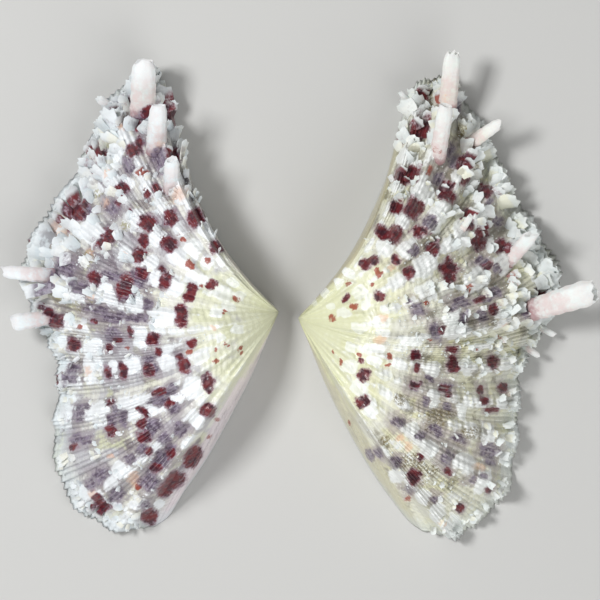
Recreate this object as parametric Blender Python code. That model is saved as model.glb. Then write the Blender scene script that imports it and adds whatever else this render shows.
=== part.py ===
# The two loose valves of a young bear paw clam, laid side by side with their outsides up.
# Each valve is one solid: a folded, spiny shell wall over a smooth hollow, standing on its edge.
# Distances are in millimetres in this file, and MM turns them into metres.
# In a valve, "out" runs from the beak to the free edge, "along" towards the spiny tip, "up" from
# the ground. The right valve is the left one mirrored, with long spines of its own.

import math

import bmesh
import bpy
from mathutils import Vector
from mathutils.bvhtree import BVHTree

MM = 0.001

# Driving dimensions of a valve
BEAK_HEIGHT = 3.4
BEAK_GAP = 2.5
BEAK_STEP = 0.8
PAIR_MIDDLE = (1.496, 2.515)
FOLD_DEPTH = 1.9
WEAK_RIB_DROP = 2.6
EDGE_LIFT = 1.9
EDGE_NOTCH = 0.75
LEDGE_HEIGHT = 0.75
HOLLOW_HEIGHT = 11.2
WALL_OVER_HOLLOW = 1.1
HOLLOW_TOP = (15.0, 1.0)

# Rays of growth run from the beak to the edge, in order round the edge. The ribs of one valve
# meet the furrows of the other, so each valve has rays of its own:
# (edge out, edge along), (bend out, bend along) and how much of a rib stands on the ray.
LEFT_RAYS = [
    ((0.7, 0.0), (0.2, 0.0), 0.0),
    ((3.3, 3.3), (1.6, 1.7), 0.0),
    ((7.0, 8.1), (3.9, 3.9), 0.0),
    ((9.7, 13.0), (6.0, 5.2), 0.0),
    ((12.0, 18.6), (7.8, 6.4), 0.0),
    ((13.3, 24.2), (9.4, 7.1), 0.0),
    ((14.8, 29.2), (10.7, 7.4), 0.3),
    ((17.6, 32.2), (12.2, 7.3), 1.0),
    ((22.4, 27.6), (15.2, 8.4), 0.8),
    ((24.8, 22.4), (16.7, 6.2), 0.9),
    ((28.6, 15.6), (17.2, 2.8), 1.0),
    ((32.2, 10.2), (17.5, 0.7), 0.35),
    ((33.9, 4.8), (16.8, -1.9), 1.0),
    ((32.2, -0.8), (15.4, -4.9), 0.9),
    ((30.0, -4.6), (14.9, -6.8), 0.8),
    ((29.0, -8.8), (14.4, -9.3), 0.9),
    ((29.4, -14.0), (13.9, -12.9), 1.0),
    ((29.2, -19.6), (13.6, -15.2), 0.35),
    ((26.6, -25.5), (13.0, -17.1), 1.0),
    ((21.2, -28.7), (11.2, -17.2), 0.8),
    ((15.3, -27.4), (8.2, -14.2), 0.0),
    ((12.3, -23.4), (6.4, -12.0), 0.0),
    ((9.3, -19.0), (4.8, -9.6), 0.0),
    ((5.9, -12.9), (3.1, -6.5), 0.0),
    ((2.9, -6.8), (1.5, -3.4), 0.0),
]
RIGHT_RAYS = [
    ((0.7, 0.0), (0.2, 0.0), 0.0),
    ((3.3, 3.4), (1.6, 1.8), 0.0),
    ((6.8, 8.2), (3.8, 4.1), 0.0),
    ((9.3, 13.2), (6.0, 5.6), 0.0),
    ((11.6, 18.8), (8.2, 6.9), 0.0),
    ((13.0, 24.4), (10.4, 7.6), 0.0),
    ((15.4, 30.6), (12.8, 7.8), 0.8),
    ((19.6, 31.4), (15.6, 7.4), 1.0),
    ((24.0, 25.4), (17.3, 5.9), 0.9),
    ((27.0, 19.2), (17.4, 3.2), 1.0),
    ((31.0, 12.2), (17.5, -0.6), 1.0),
    ((34.0, 6.6), (17.6, -3.4), 0.35),
    ((33.9, 2.2), (17.0, -5.8), 1.0),
    ((31.6, -2.2), (15.6, -7.0), 0.4),
    ((29.7, -5.6), (15.1, -8.9), 0.9),
    ((29.0, -11.0), (14.4, -12.1), 1.0),
    ((28.8, -15.8), (13.9, -14.7), 0.9),
    ((27.5, -22.4), (13.4, -17.3), 1.0),
    ((23.9, -26.4), (12.6, -18.8), 0.4),
    ((20.4, -28.7), (11.2, -18.6), 1.0),
    ((15.5, -27.3), (8.0, -14.6), 0.0),
    ((12.0, -23.4), (6.2, -12.2), 0.0),
    ((9.0, -19.0), (4.7, -9.7), 0.0),
    ((5.6, -12.9), (3.0, -6.5), 0.0),
    ((2.8, -6.8), (1.5, -3.4), 0.0),
]

# For each ray, the height of its crown over the ground and the wall's width at the edge
CROWNS = [
    0.0, 3.2, 6.4, 8.8, 10.4, 11.0, 11.5, 12.5, 12.6, 12.8, 13.0, 13.2, 13.3,
    13.3, 13.1, 12.9, 12.5, 11.9, 11.3, 10.6, 7.2, 6.2, 5.4, 4.4, 3.0,
]
WALLS = [
    4.2, 3.0, 2.2, 1.8, 1.6, 1.4, 1.25, 1.25, 1.25, 1.25, 1.25, 1.25, 1.25,
    1.25, 1.25, 1.25, 1.25, 1.25, 1.25, 1.3, 1.6, 2.0, 2.4, 2.9, 3.6,
]
SPOKES_ON_FOLDS = 6
SPOKES_ON_SMOOTH_SIDE = 1

# Shares of the way from beak to edge where growth stopped and left a raised lip
LIPS = (0.24, 0.37, 0.49, 0.6, 0.7, 0.8, 0.9)
LIP_STEP = 0.025
HOLLOW_RINGS = (0.88, 0.68, 0.45, 0.22)

# Long spines: foot (out, along), tip (out, along), tip height over the foot, width, and flare,
# which is the tip's width over the foot's.
LEFT_SPINES = [
    ((17.4, 25.6), (17.3, 32.4), 2.4, 3.5, 0.84),
    ((15.8, 20.6), (15.4, 26.6), 4.0, 2.7, 0.8),
    ((13.8, 15.6), (13.7, 19.6), 2.6, 2.2, 0.85),
    ((21.4, 26.0), (23.4, 27.7), 1.0, 1.3, 0.85),
    ((29.4, 4.6), (35.6, 5.2), 1.6, 2.1, 0.75),
    ((29.6, -0.7), (34.5, -1.4), 1.8, 1.5, 1.5),
]
RIGHT_SPINES = [
    ((19.2, 27.0), (19.9, 34.3), 3.2, 2.4, 0.9),
    ((17.9, 20.4), (19.0, 27.4), 3.6, 2.1, 0.95),
    ((14.8, 27.6), (13.2, 29.3), 0.9, 0.75, 1.0),
    ((22.4, 22.6), (26.1, 25.2), 2.2, 1.9, 0.75),
    ((30.2, 1.0), (38.2, 3.5), 3.6, 2.7, 1.28),
    ((27.2, 7.4), (30.2, 10.8), 2.4, 1.8, 1.0),
    ((21.0, 11.2), (22.2, 13.2), 1.8, 0.9, 0.9),
    ((31.0, -1.0), (33.3, -2.2), 0.7, 0.8, 1.0),
    ((29.2, -3.6), (31.2, -4.9), 0.5, 0.8, 1.0),
]
SPINE_SIDES = 8
SPINE_RINGS = 4
SPINE_THICKNESS = 0.62
SPINE_SINK = 0.9
SPINE_CURL = 0.07
SPINE_CUP = 0.88


def clear_scene():
    for old in list(bpy.data.objects):
        bpy.data.objects.remove(old)


def blend_keys(keys, place):
    """A value on the smooth closed curve through the keys, one key at each whole place."""
    count = len(keys)
    start = math.floor(place)
    t = place - start
    before, here, after, beyond = (keys[(start + step) % count] for step in (-1, 0, 1, 2))
    return 0.5 * (
        2 * here
        + (after - before) * t
        + (2 * before - 5 * here + 4 * after - beyond) * t ** 2
        + (3 * here - before - 3 * after + beyond) * t ** 3
    )


def rib_strength(rays, place):
    """Straight between the rays, so that the hinge side stays smooth."""
    start = math.floor(place)
    t = place - start
    here, after = rays[start % len(rays)][2], rays[(start + 1) % len(rays)][2]
    return max(0.0, here + (after - here) * t)


def furrow(place):
    """0 on a rib's crest and 1 in the furrow halfway to the next rib."""
    return math.sin(math.pi * (place % 1.0)) ** 2


def edge_point(rays, place):
    """The valve's edge where it meets the ground or arches over it."""
    strength = rib_strength(rays, place)
    outline = blend_keys([Vector(ray[0]) for ray in rays], place)
    inward = (Vector(HOLLOW_TOP) - outline).normalized()
    outline = outline + inward * EDGE_NOTCH * furrow(place) * strength
    lift = EDGE_LIFT * strength * (1 - furrow(place))
    return Vector((outline.x, outline.y, lift))


def outer_point(rays, place, growth, lip=0.0):
    """The outside of the valve on one ray, at a share of growth from 0 at the beak to 1."""
    edge = edge_point(rays, place)
    bend = blend_keys([Vector(ray[1]) for ray in rays], place)
    toward = 2 * growth * (1 - growth)
    out = toward * bend.x + growth ** 2 * edge.x
    along = toward * bend.y + growth ** 2 * edge.y
    rise = growth ** 0.88
    strength = rib_strength(rays, place)
    folds = FOLD_DEPTH * growth * (1 - growth ** 3)
    height = BEAK_HEIGHT * (1 - growth) ** 1.5 + blend_keys(CROWNS, place) * 4 * rise * (1 - rise)
    height -= folds * strength * (furrow(place) + WEAK_RIB_DROP * (1 - strength))
    height += edge.z * growth ** 3
    crest = strength * (1 - furrow(place))
    height += lip * LEDGE_HEIGHT * crest * (0.4 + 0.6 * growth)
    return Vector((out, along, max(height, edge.z)))


def hollow_point(rays, place, share):
    """The inside of the valve, at a share of the way from the hollow's top to the edge."""
    edge = edge_point(rays, place)
    top = Vector(HOLLOW_TOP)
    outline = edge.xy + (top - edge.xy).normalized() * blend_keys(WALLS, place)
    spot = top + (outline - top) * share
    height = edge.z + (HOLLOW_HEIGHT - edge.z) * (1 - share ** 1.9)
    return Vector((spot.x, spot.y, height))


def spoke_places(rays):
    """Where the columns of faces stand round the edge, closer together over the folds."""
    places = []
    for key, ray in enumerate(rays):
        folded = ray[2] > 0 and rays[(key + 1) % len(rays)][2] > 0
        count = SPOKES_ON_FOLDS if folded else SPOKES_ON_SMOOTH_SIDE
        places += [key + step / count for step in range(count)]
    return places


def growth_rows():
    """Shares of growth with the lip at each: a lip's brow, then its foot."""
    rows = [(0.1, 0.0)]
    for lip in LIPS:
        rows += [(lip, 1.0), (lip + LIP_STEP, -0.35)]
    return rows + [(1.0, 0.0)]


def shape_valve(side, rays):
    """A ball whose upper half becomes the outside of the valve and whose lower half the inside."""
    places = spoke_places(rays)
    rows = growth_rows()
    rings = len(rows) + 1 + len(HOLLOW_RINGS)
    shares = (1.0, *HOLLOW_RINGS, 0.0)
    shell = bmesh.new()
    bmesh.ops.create_uvsphere(shell, u_segments=len(places), v_segments=rings + 1, radius=1.0)
    inside = []
    for vert in shell.verts:
        ring = round(math.acos(max(-1.0, min(1.0, vert.co.z))) / math.pi * (rings + 1))
        turn = math.atan2(vert.co.y, vert.co.x) / math.tau % 1.0
        place = places[round(turn * len(places)) % len(places)]
        if ring == 0:
            vert.co = (0.0, 0.0, BEAK_HEIGHT)
        elif ring <= len(rows):
            vert.co = outer_point(rays, place, *rows[ring - 1])
        else:
            share = shares[ring - len(rows) - 1]
            vert.co = hollow_point(rays, place, share)
            inside.append((vert, share))
    keep_wall(shell, inside)
    for vert in shell.verts:
        vert.co = place_on_ground(vert.co, side)
    bmesh.ops.recalc_face_normals(shell, faces=shell.faces)
    return shell


def keep_wall(shell, inside):
    """Lowers the hollow wherever it comes too close under the outside."""
    outside = shell.copy()
    outside.verts.ensure_lookup_table()
    bmesh.ops.delete(outside, geom=[outside.verts[vert.index] for vert, _ in inside], context="VERTS")
    roof = BVHTree.FromBMesh(outside)
    outside.free()
    for vert, share in inside:
        if share == 1.0:
            continue
        spot = Vector((vert.co.x, vert.co.y, -1.0))
        for out, along in ((0, 0), (1, 0), (-1, 0), (0, 1), (0, -1)):
            above = roof.ray_cast(spot + Vector((out, along, 0)) * WALL_OVER_HOLLOW, Vector((0, 0, 1)))[0]
            if above:
                vert.co.z = max(0.1, min(vert.co.z, above.z - WALL_OVER_HOLLOW))


def place_on_ground(spot, side):
    """A spot of a valve in the object's frame, in metres: side is -1 for the left valve."""
    across = side * (spot.x + BEAK_GAP / 2) - PAIR_MIDDLE[0]
    return Vector((across, spot.y - side * BEAK_STEP / 2 - PAIR_MIDDLE[1], spot.z)) * MM


def folded_points(rays, growths=60, places_per_ray=8):
    """Many points over the ribbed part of the outside, to stand the spines on."""
    points = []
    for number in range(len(rays) * places_per_ray):
        place = number / places_per_ray
        if rib_strength(rays, place) > 0:
            points += [outer_point(rays, place, step / growths) for step in range(1, growths + 1)]
    return points


def shape_spine(foot, tip, climb, width, flare, side, ground):
    """A flattened, slightly curled tube of shell, sunk in the wall at its foot, cupped at its tip."""
    nearest = min(ground, key=lambda point: (point.xy - Vector(foot)).length_squared)
    base = Vector((*foot, nearest.z))
    end = Vector((*tip, nearest.z + climb))
    line = (end - base).normalized()
    start = base - line * SPINE_SINK - Vector((0, 0, SPINE_SINK / 2))
    across = line.cross(Vector((0, 0, 1))).normalized()
    lift = across.cross(line).normalized()
    spine = bmesh.new()
    rows = SPINE_RINGS + 1
    bmesh.ops.create_uvsphere(spine, u_segments=SPINE_SIDES, v_segments=rows, radius=1.0)
    for vert in spine.verts:
        ring = round(math.acos(max(-1.0, min(1.0, vert.co.z))) / math.pi * rows)
        at_pole = ring in (0, rows)
        share = (rows - 1 - ring) / (rows - 2)
        if at_pole:
            share = SPINE_CUP if ring == 0 else 0.0
        turn = math.atan2(vert.co.y, vert.co.x)
        spread = 0 if at_pole else width / 2 * (1 + (flare - 1) * share)
        thick = 0 if at_pole else width / 2 * SPINE_THICKNESS * (1 - 0.25 * share)
        curl = SPINE_CURL * (end - start).length * math.sin(math.pi * share)
        spot = start + (end - start) * share
        spot += across * math.cos(turn) * spread + lift * (math.sin(turn) * thick + curl)
        vert.co = place_on_ground(spot, side)
    bmesh.ops.recalc_face_normals(spine, faces=spine.faces)
    return spine


def make_valve(name, side, rays, spine_list, colour, shells, helpers):
    shell = shape_valve(side, rays)
    mesh = bpy.data.meshes.new(name)
    shell.to_mesh(mesh)
    shell.free()
    valve = bpy.data.objects.new(name, mesh)
    shells.objects.link(valve)
    mesh.materials.append(make_finish(name + "_finish", colour))
    ground = folded_points(rays)
    for number, spine in enumerate(spine_list, 1):
        spike = shape_spine(*spine, side, ground)
        spike_mesh = bpy.data.meshes.new(f"{name}_spine_{number}")
        spike.to_mesh(spike_mesh)
        spike.free()
        helper = bpy.data.objects.new(spike_mesh.name, spike_mesh)
        helper.hide_render = True
        helper.display_type = "WIRE"
        helpers.objects.link(helper)
        join = valve.modifiers.new(f"spine {number}", "BOOLEAN")
        join.operation = "UNION"
        join.solver = "EXACT"
        join.object = helper
    return valve


def make_finish(name, colour):
    finish = bpy.data.materials.new(name)
    finish.use_nodes = True
    shader = finish.node_tree.nodes["Principled BSDF"]
    shader.inputs["Base Color"].default_value = (*colour, 1.0)
    shader.inputs["Roughness"].default_value = 0.45
    shader.inputs["Metallic"].default_value = 0.0
    return finish


def new_collection(name):
    made = bpy.data.collections.new(name)
    bpy.context.scene.collection.children.link(made)
    return made


clear_scene()
clam = new_collection("bear_paw_clam")
cutters = new_collection("spine_helpers")
make_valve("left_valve", -1, LEFT_RAYS, LEFT_SPINES, (0.80, 0.76, 0.70), clam, cutters)
make_valve("right_valve", 1, RIGHT_RAYS, RIGHT_SPINES, (0.78, 0.76, 0.66), clam, cutters)
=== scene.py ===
# The two loose valves of a young bear paw clam, dressed with riblets, scales, spines and coloured
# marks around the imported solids. Distances are in millimetres until placeOnGround makes metres.
import math

import bmesh
import bpy
import numpy as np
from mathutils import Matrix, Vector
from mathutils.bvhtree import BVHTree


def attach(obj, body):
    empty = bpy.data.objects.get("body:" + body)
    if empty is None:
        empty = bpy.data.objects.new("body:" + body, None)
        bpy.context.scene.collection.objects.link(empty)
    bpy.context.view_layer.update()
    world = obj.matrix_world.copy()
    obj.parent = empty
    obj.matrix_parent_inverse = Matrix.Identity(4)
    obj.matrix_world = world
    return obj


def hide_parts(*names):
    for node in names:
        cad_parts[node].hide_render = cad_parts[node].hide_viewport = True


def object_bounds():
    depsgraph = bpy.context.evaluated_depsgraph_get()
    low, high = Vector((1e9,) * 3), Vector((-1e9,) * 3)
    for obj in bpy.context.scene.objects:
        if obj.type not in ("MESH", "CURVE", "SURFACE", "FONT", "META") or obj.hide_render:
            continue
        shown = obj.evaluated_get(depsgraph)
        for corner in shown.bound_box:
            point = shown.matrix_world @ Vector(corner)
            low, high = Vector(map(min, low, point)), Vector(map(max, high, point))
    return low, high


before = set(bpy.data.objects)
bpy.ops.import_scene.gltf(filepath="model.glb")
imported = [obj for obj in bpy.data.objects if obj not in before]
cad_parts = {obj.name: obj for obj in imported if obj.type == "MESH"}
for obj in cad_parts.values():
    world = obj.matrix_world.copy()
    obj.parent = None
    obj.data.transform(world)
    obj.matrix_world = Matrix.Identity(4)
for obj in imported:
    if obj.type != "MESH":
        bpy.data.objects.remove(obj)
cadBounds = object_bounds()
print("frame loaded:", sorted(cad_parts))

mm = 0.001
view = {
    "pixel": 0.13,           # millimetres to a pixel of the photograph, on the ground
    "middle": (0.0, -0.565),  # the spot on the ground in the middle of the photograph
    "lens": 500.0,
    "sensor": 36.0,
    "pixels": 600,
}
view["width"] = view["pixel"] * view["pixels"]
view["distance"] = view["lens"] / view["sensor"] * view["width"]

# The same growth as the solids have, and the finer form that the solids leave out
form = {
    "beakHeight": 3.4, "beakGap": 2.5, "beakStep": 0.8, "pairMiddle": (1.496, 2.515),
    "foldDepth": 1.9, "weakRibDrop": 2.6, "edgeLift": 1.9, "edgeNotch": 0.75, "ledge": 0.75,
    "hollowHeight": 11.2, "wall": 1.0, "hollowTop": (15.0, 1.0),
    "lips": (0.24, 0.37, 0.49, 0.6, 0.7, 0.8, 0.9), "lipStep": 0.025,
    "fineLips": 40, "fineLedge": 0.2, "wobble": 0.35, "drift": 0.25, "rise": 0.88,
    "riblets": 7, "beakRiblets": 3, "ribletHeight": 0.13, "grain": 0.16, "grainWidth": 0.55,
    "blocks": 13, "blockHeight": 0.6, "grooveDepth": 0.22, "snowHeight": 0.3, "stripes": 5,
    "teeth": 0.15, "teethVary": 0.13, "jag": 0.2, "jagsPerRib": 6,
    "ribColumns": 40, "smoothColumns": 12, "insideRings": 15, "lipRows": (0.02, 0.5, 0.96),
}
# Rays from the beak to the edge, one rib to a ray, as (edge out, edge along),
# (bend out, bend along), how much of a rib stands there
leftRays = [
    ((0.7, 0.0), (0.2, 0.0), 0.0),
    ((3.3, 3.3), (1.6, 1.7), 0.0),
    ((7.0, 8.1), (3.9, 3.9), 0.0),
    ((9.7, 13.0), (6.0, 5.2), 0.0),
    ((12.0, 18.6), (7.8, 6.4), 0.0),
    ((13.3, 24.2), (9.4, 7.1), 0.0),
    ((14.8, 29.2), (10.7, 7.4), 0.3),
    ((17.6, 32.2), (12.2, 7.3), 1.0),
    ((22.4, 27.6), (15.2, 8.4), 0.8),
    ((24.8, 22.4), (16.7, 6.2), 0.9),
    ((28.6, 15.6), (17.2, 2.8), 1.0),
    ((32.2, 10.2), (17.5, 0.7), 0.35),
    ((33.9, 4.8), (16.8, -1.9), 1.0),
    ((32.2, -0.8), (15.4, -4.9), 0.9),
    ((30.0, -4.6), (14.9, -6.8), 0.8),
    ((29.0, -8.8), (14.4, -9.3), 0.9),
    ((29.4, -14.0), (13.9, -12.9), 1.0),
    ((29.2, -19.6), (13.6, -15.2), 0.35),
    ((26.6, -25.5), (13.0, -17.1), 1.0),
    ((21.2, -28.7), (11.2, -17.2), 0.8),
    ((15.3, -27.4), (8.2, -14.2), 0.0),
    ((12.3, -23.4), (6.4, -12.0), 0.0),
    ((9.3, -19.0), (4.8, -9.6), 0.0),
    ((5.9, -12.9), (3.1, -6.5), 0.0),
    ((2.9, -6.8), (1.5, -3.4), 0.0),
]
rightRays = [
    ((0.7, 0.0), (0.2, 0.0), 0.0),
    ((3.3, 3.4), (1.6, 1.8), 0.0),
    ((6.8, 8.2), (3.8, 4.1), 0.0),
    ((9.3, 13.2), (6.0, 5.6), 0.0),
    ((11.6, 18.8), (8.2, 6.9), 0.0),
    ((13.0, 24.4), (10.4, 7.6), 0.0),
    ((15.4, 30.6), (12.8, 7.8), 0.8),
    ((19.6, 31.4), (15.6, 7.4), 1.0),
    ((24.0, 25.4), (17.3, 5.9), 0.9),
    ((27.0, 19.2), (17.4, 3.2), 1.0),
    ((31.0, 12.2), (17.5, -0.6), 1.0),
    ((34.0, 6.6), (17.6, -3.4), 0.35),
    ((33.9, 2.2), (17.0, -5.8), 1.0),
    ((31.6, -2.2), (15.6, -7.0), 0.4),
    ((29.7, -5.6), (15.1, -8.9), 0.9),
    ((29.0, -11.0), (14.4, -12.1), 1.0),
    ((28.8, -15.8), (13.9, -14.7), 0.9),
    ((27.5, -22.4), (13.4, -17.3), 1.0),
    ((23.9, -26.4), (12.6, -18.8), 0.4),
    ((20.4, -28.7), (11.2, -18.6), 1.0),
    ((15.5, -27.3), (8.0, -14.6), 0.0),
    ((12.0, -23.4), (6.2, -12.2), 0.0),
    ((9.0, -19.0), (4.7, -9.7), 0.0),
    ((5.6, -12.9), (3.0, -6.5), 0.0),
    ((2.8, -6.8), (1.5, -3.4), 0.0),
]
# For each ray, the height of its crown over the ground and the wall's width at the edge
crowns = [
    0.0, 3.2, 6.4, 8.8, 10.4, 11.0, 11.5, 12.5, 12.6, 12.8, 13.0, 13.2, 13.3,
    13.3, 13.1, 12.9, 12.5, 11.9, 11.3, 10.6, 7.2, 6.2, 5.4, 4.4, 3.0,
]
walls = [
    4.2, 3.0, 2.2, 1.8, 1.6, 1.4, 1.25, 1.25, 1.25, 1.25, 1.25, 1.25, 1.25,
    1.25, 1.25, 1.25, 1.25, 1.25, 1.25, 1.3, 1.6, 2.0, 2.4, 2.9, 3.6,
]

# Long spines: foot (out, along), tip (out, along), climb of the tip, width, tip width over width
leftSpines = [
    ((17.4, 25.6), (17.3, 32.4), 2.4, 3.5, 0.84),
    ((15.8, 20.6), (15.4, 26.6), 4.0, 2.7, 0.8),
    ((13.8, 15.6), (13.7, 19.6), 2.6, 2.2, 0.85),
    ((21.4, 26.0), (23.4, 27.7), 1.0, 1.3, 0.85),
    ((29.4, 4.6), (35.6, 5.2), 1.6, 2.1, 0.75),
    ((29.6, -0.7), (34.5, -1.4), 1.8, 1.5, 1.5),
]
rightSpines = [
    ((19.2, 27.0), (19.9, 34.3), 3.2, 2.4, 0.9),
    ((17.9, 20.4), (19.0, 27.4), 3.6, 2.1, 0.95),
    ((14.8, 27.6), (13.2, 29.3), 0.9, 0.75, 1.0),
    ((22.4, 22.6), (26.1, 25.2), 2.2, 1.9, 0.75),
    ((30.2, 1.0), (38.2, 3.5), 3.6, 2.7, 1.28),
    ((27.2, 7.4), (30.2, 10.8), 2.4, 1.8, 1.0),
    ((21.0, 11.2), (22.2, 13.2), 1.8, 0.9, 0.9),
    ((31.0, -1.0), (33.3, -2.2), 0.7, 0.8, 1.0),
    ((29.2, -3.6), (31.2, -4.9), 0.5, 0.8, 1.0),
]

# Marks on the ribs, as (x, y, half width, half height) in the photograph's pixels. Snow is
# raised white shell, and grit is fine olive-brown dirt.
leftMarks = {
    "wine": [
        (125, 100, 5, 3), (112, 118, 2, 6), (147, 111, 5, 4), (136, 124, 4, 6), (172, 120, 4, 7),
        (140, 142, 3, 4), (133, 150, 6, 5), (172, 155, 5, 7), (101, 158, 6, 5), (96, 173, 3, 3),
        (121, 188, 6, 5), (158, 189, 3, 4), (117, 203, 3, 2), (148, 195, 2, 2), (78, 212, 5, 7),
        (86, 204, 4, 3), (131, 210, 2, 2), (69, 225, 5, 2), (148, 224, 4, 8), (171, 217, 6, 5),
        (197, 218, 7, 6), (109, 235, 6, 6), (30, 247, 5, 5), (31, 250, 6, 5), (102, 244, 4, 4),
        (143, 241, 4, 4), (169, 244, 6, 4), (216, 247, 6, 5), (139, 255, 4, 6), (142, 273, 5, 3),
        (161, 269, 2, 2), (94, 278, 5, 5), (126, 286, 5, 10), (166, 280, 3, 8), (212, 284, 4, 3),
        (191, 293, 3, 8), (48, 312, 4, 3), (57, 322, 6, 6), (94, 322, 2, 2), (181, 316, 5, 9),
        (129, 332, 2, 4), (74, 345, 6, 6), (108, 347, 3, 3), (118, 339, 3, 2), (154, 339, 4, 4),
        (193, 344, 3, 3), (158, 351, 3, 3), (181, 358, 3, 2), (123, 371, 2, 7), (149, 369, 3, 7),
        (186, 366, 4, 5), (59, 380, 2, 4), (107, 373, 2, 7), (208, 381, 5, 5), (160, 393, 4, 3),
        (209, 388, 2, 4), (111, 402, 3, 2), (168, 404, 4, 2), (143, 411, 2, 6), (209, 410, 6, 4),
        (112, 430, 3, 4), (141, 424, 4, 2), (144, 436, 5, 4), (75, 446, 3, 2), (148, 452, 2, 3),
        (171, 453, 4, 3), (193, 457, 6, 9), (156, 468, 5, 3), (175, 479, 7, 8), (166, 489, 6, 6),
        (98, 499, 5, 4), (104, 506, 6, 4), (149, 517, 6, 5),
    ],
    "plum": [
        (120, 108, 5, 5), (140, 116, 5, 4), (158, 154, 6, 5), (130, 166, 4, 5), (164, 165, 7, 5),
        (86, 210, 6, 4), (112, 208, 5, 6), (65, 266, 9, 7), (53, 278, 2, 9), (112, 276, 8, 3),
        (138, 279, 8, 4), (80, 288, 6, 5), (128, 290, 6, 10), (94, 309, 12, 3), (147, 304, 4, 5),
        (112, 318, 10, 4), (122, 314, 4, 3), (136, 318, 10, 3), (112, 334, 8, 6), (148, 358, 5, 2),
        (73, 368, 5, 4), (154, 368, 2, 4), (70, 378, 6, 5), (171, 392, 6, 4), (87, 407, 3, 2),
        (158, 400, 8, 3), (78, 414, 5, 8), (115, 411, 2, 5), (123, 419, 2, 8), (174, 410, 5, 3),
        (112, 420, 3, 6), (150, 428, 10, 4), (181, 429, 6, 5), (77, 439, 5, 4), (85, 440, 5, 2),
        (164, 439, 6, 4), (142, 450, 4, 5), (170, 447, 5, 2), (130, 458, 4, 4), (162, 460, 8, 6),
        (100, 476, 8, 5), (90, 484, 3, 6), (150, 482, 8, 8), (118, 493, 8, 3), (145, 506, 4, 4),
    ],
    "rust": [
        (130, 110, 2, 3), (136, 108, 2, 3), (145, 175, 4, 4), (182, 239, 3, 2), (207, 260, 4, 4),
        (189, 265, 6, 3), (202, 285, 3, 2), (236, 299, 3, 3), (225, 311, 2, 3), (80, 327, 3, 3),
        (228, 344, 2, 2), (125, 349, 2, 2), (188, 352, 3, 3), (216, 350, 2, 2), (241, 348, 2, 2),
        (242, 352, 2, 2), (215, 361, 3, 3), (217, 420, 3, 2), (209, 436, 3, 2), (139, 488, 3, 3),
    ],
    "peach": [
        (121, 127, 3, 2), (160, 144, 5, 3), (88, 175, 2, 2), (106, 173, 4, 3), (180, 194, 8, 5),
        (106, 204, 3, 3), (56, 229, 5, 3), (66, 238, 6, 4), (89, 253, 5, 3), (123, 255, 3, 3),
        (35, 291, 4, 5), (91, 296, 3, 3), (213, 328, 2, 3), (88, 371, 3, 4), (110, 456, 3, 2),
        (135, 479, 6, 6), (92, 494, 4, 4),
    ],
    "snow": [
        (118, 134, 7, 5), (115, 155, 7, 8), (110, 176, 8, 14), (138, 168, 7, 8), (174, 179, 8, 11),
        (96, 190, 6, 6), (128, 183, 5, 6), (146, 190, 5, 7), (182, 198, 5, 8), (162, 207, 8, 8),
        (136, 220, 9, 13), (91, 231, 10, 14), (157, 238, 8, 10), (179, 228, 7, 8),
        (205, 228, 6, 11), (193, 248, 10, 7), (125, 252, 6, 7), (152, 262, 6, 6), (177, 256, 9, 8),
        (207, 262, 8, 6), (62, 281, 10, 8), (155, 279, 7, 6), (195, 279, 12, 6), (76, 298, 6, 7),
        (99, 290, 14, 8), (110, 299, 10, 6), (174, 288, 10, 8), (223, 293, 10, 7),
        (135, 305, 8, 8), (160, 317, 14, 9), (58, 341, 9, 6), (92, 345, 8, 6), (141, 342, 8, 5),
        (166, 350, 8, 4), (200, 356, 7, 7), (64, 366, 7, 8), (93, 366, 10, 12), (113, 368, 5, 7),
        (133, 365, 8, 9), (167, 363, 9, 9), (193, 389, 12, 8), (67, 398, 9, 6), (153, 404, 9, 10),
        (176, 398, 8, 6), (64, 418, 9, 12), (100, 414, 9, 15), (130, 411, 7, 10), (198, 421, 8, 6),
        (161, 455, 9, 6), (118, 469, 8, 7), (111, 484, 8, 7), (86, 492, 8, 6), (116, 505, 4, 6),
        (160, 504, 5, 6),
        (232, 281, 6, 4), (240, 296, 6, 4), (228, 306, 7, 4), (216, 312, 7, 4), (236, 330, 6, 4),
        (221, 338, 6, 4), (222, 262, 5, 4),
    ],
    "grit": [
        (96, 195, 4, 3), (85, 193, 3, 2), (125, 226, 3, 3), (56, 298, 4, 4), (80, 307, 5, 3),
        (90, 305, 4, 3), (88, 255, 4, 3), (37, 292, 3, 3),
    ],
}
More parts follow.
